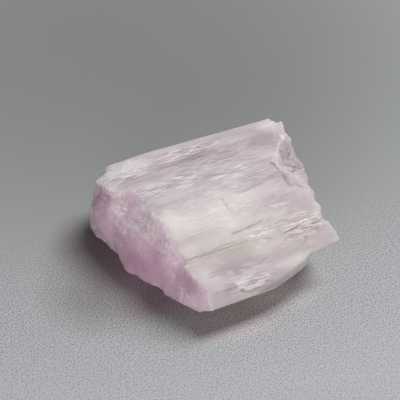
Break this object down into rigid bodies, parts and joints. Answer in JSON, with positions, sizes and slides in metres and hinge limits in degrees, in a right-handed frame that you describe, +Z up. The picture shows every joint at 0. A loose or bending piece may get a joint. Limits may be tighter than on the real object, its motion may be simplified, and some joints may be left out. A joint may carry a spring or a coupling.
{
  "type": "rough kunzite crystal",
  "caption": "Rough, see-through pink gem crystal: a broken flat blade with grooves along its length, stepped cleavage ledges and lumpy fractured ends, lying on a flat side.",
  "frame": {"origin": "middle of the bounding box on the plane the crystal rests on", "axes": "+X along the crystal's long axis, which its grooves follow, towards the end that is right in the picture; +Y across the blade, away from the viewer; +Z up"},
  "size_m": [0.0402, 0.039, 0.0136],
  "materials": {
    "kunzite": "pale pink-lilac clouded crystal, glassy on cleavage faces and satin on fractures"
  },
  "bodies": {
    "root": {"kunzite_crystal": "kunzite"}
  },
  "joints": []
}
